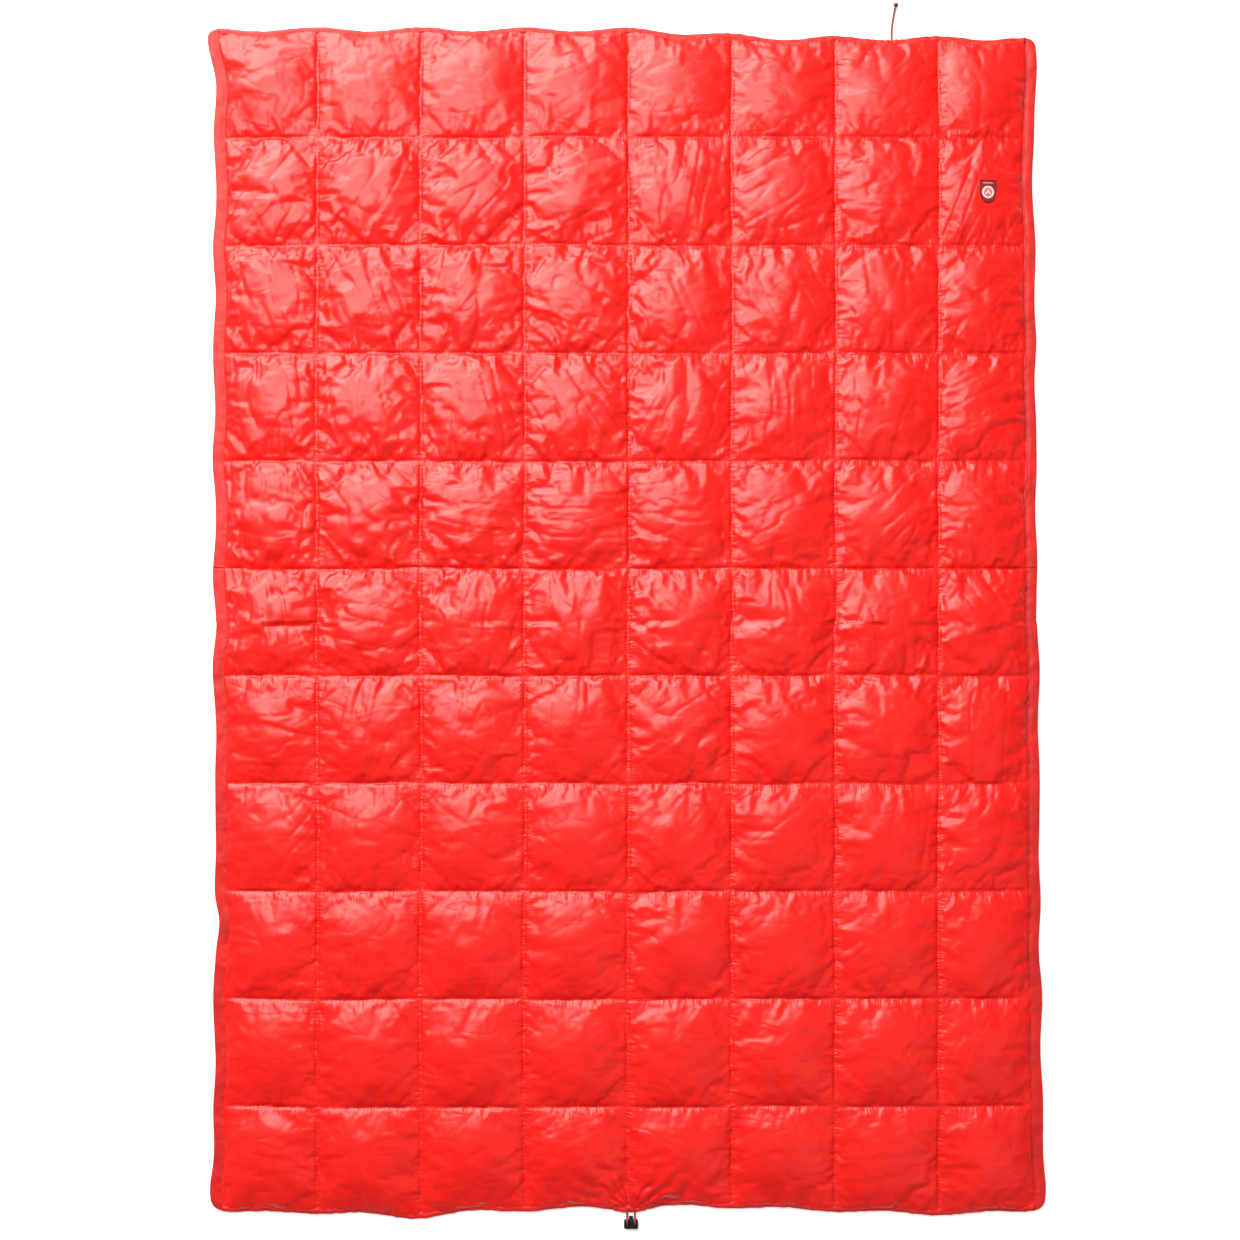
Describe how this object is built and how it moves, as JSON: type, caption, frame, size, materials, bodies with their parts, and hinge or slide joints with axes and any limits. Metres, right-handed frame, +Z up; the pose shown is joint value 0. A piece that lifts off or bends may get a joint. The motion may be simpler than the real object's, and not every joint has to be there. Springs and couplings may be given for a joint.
{
  "type": "down camp quilt",
  "caption": "Rectangular sewn-through down camp quilt lying flat, with folding head and foot flaps, drawcord hems, a cord lock and a shield label.",
  "frame": {"origin": "on the ground under the middle of the quilt", "axes": "+X across the width, +Y towards the head edge, +Z up out of the face"},
  "size_m": [1.4, 2.0756, 0.0336],
  "materials": {
    "face_nylon": "gloss",
    "lining_nylon": "satin",
    "hem_nylon": "gloss",
    "down_fill": "matte",
    "thread": "satin",
    "drawcord": "matte",
    "lock_plastic": "satin",
    "spring_steel": "polished",
    "label_cloth": "matte",
    "label_thread": "satin",
    "label_print": "matte"
  },
  "bodies": {
    "quilt_middle": {"down_fill_row_03": "down_fill", "down_fill_row_04": "down_fill", "down_fill_row_05": "down_fill", "down_fill_row_06": "down_fill", "down_fill_row_07": "down_fill", "down_fill_row_08": "down_fill", "face_fabric_middle": "face_nylon", "lining_middle": "lining_nylon", "side_hem_left_middle": "hem_nylon", "side_hem_right_middle": "hem_nylon", "side_hem_stitching_left_middle": "thread", "side_hem_stitching_right_middle": "thread", "quilting_thread_middle": "thread"},
    "quilt_head": {"down_fill_row_01": "down_fill", "down_fill_row_02": "down_fill", "face_fabric_head": "face_nylon", "lining_head": "lining_nylon", "side_hem_left_head": "hem_nylon", "side_hem_right_head": "hem_nylon", "side_hem_stitching_left_head": "thread", "side_hem_stitching_right_head": "thread", "quilting_thread_head": "thread", "head_hem": "hem_nylon", "head_hem_stitching": "thread", "head_drawcord": "drawcord", "head_drawcord_tail": "drawcord", "head_drawcord_knot": "drawcord", "label_patch": "label_cloth", "label_border": "label_thread", "label_emblem": "label_print", "label_bar": "label_print"},
    "quilt_foot": {"down_fill_row_09": "down_fill", "down_fill_row_10": "down_fill", "down_fill_row_11": "down_fill", "face_fabric_foot": "face_nylon", "lining_foot": "lining_nylon", "side_hem_left_foot": "hem_nylon", "side_hem_right_foot": "hem_nylon", "side_hem_stitching_left_foot": "thread", "side_hem_stitching_right_foot": "thread", "quilting_thread_foot": "thread", "foot_hem": "hem_nylon", "foot_hem_stitching": "thread", "foot_drawcord_left": "drawcord", "foot_drawcord_right": "drawcord"},
    "cord_lock": {"cord_lock_body": "lock_plastic", "cord_lock_spring": "spring_steel", "foot_drawcord_end_left": "drawcord", "foot_drawcord_end_right": "drawcord"},
    "lock_button": {"cord_lock_button": "lock_plastic"}
  },
  "joints": [
    {"name": "head_fold", "type": "hinge", "parent": "quilt_middle", "child": "quilt_head", "pos_m": [0, 0.63636, 0.0333], "axis": [1, 0, 0], "range_deg": [0, 179]},
    {"name": "foot_fold", "type": "hinge", "parent": "quilt_middle", "child": "quilt_foot", "pos_m": [0, -0.45454, 0.0333], "axis": [-1, 0, 0], "range_deg": [0, 179]},
    {"name": "cord_lock_swing", "type": "hinge", "parent": "quilt_foot", "child": "cord_lock", "pos_m": [0.005, -1.0026, 0.003], "axis": [-1, 0, 0], "range_deg": [0, 90]},
    {"name": "cord_lock_press", "type": "slide", "parent": "cord_lock", "child": "lock_button", "axis": [0, -1, 0], "range_m": [0, 0.002], "stiffness_N_per_m": 300, "springref_m": -0.002, "deforming": ["cord_lock_spring"]}
  ]
}
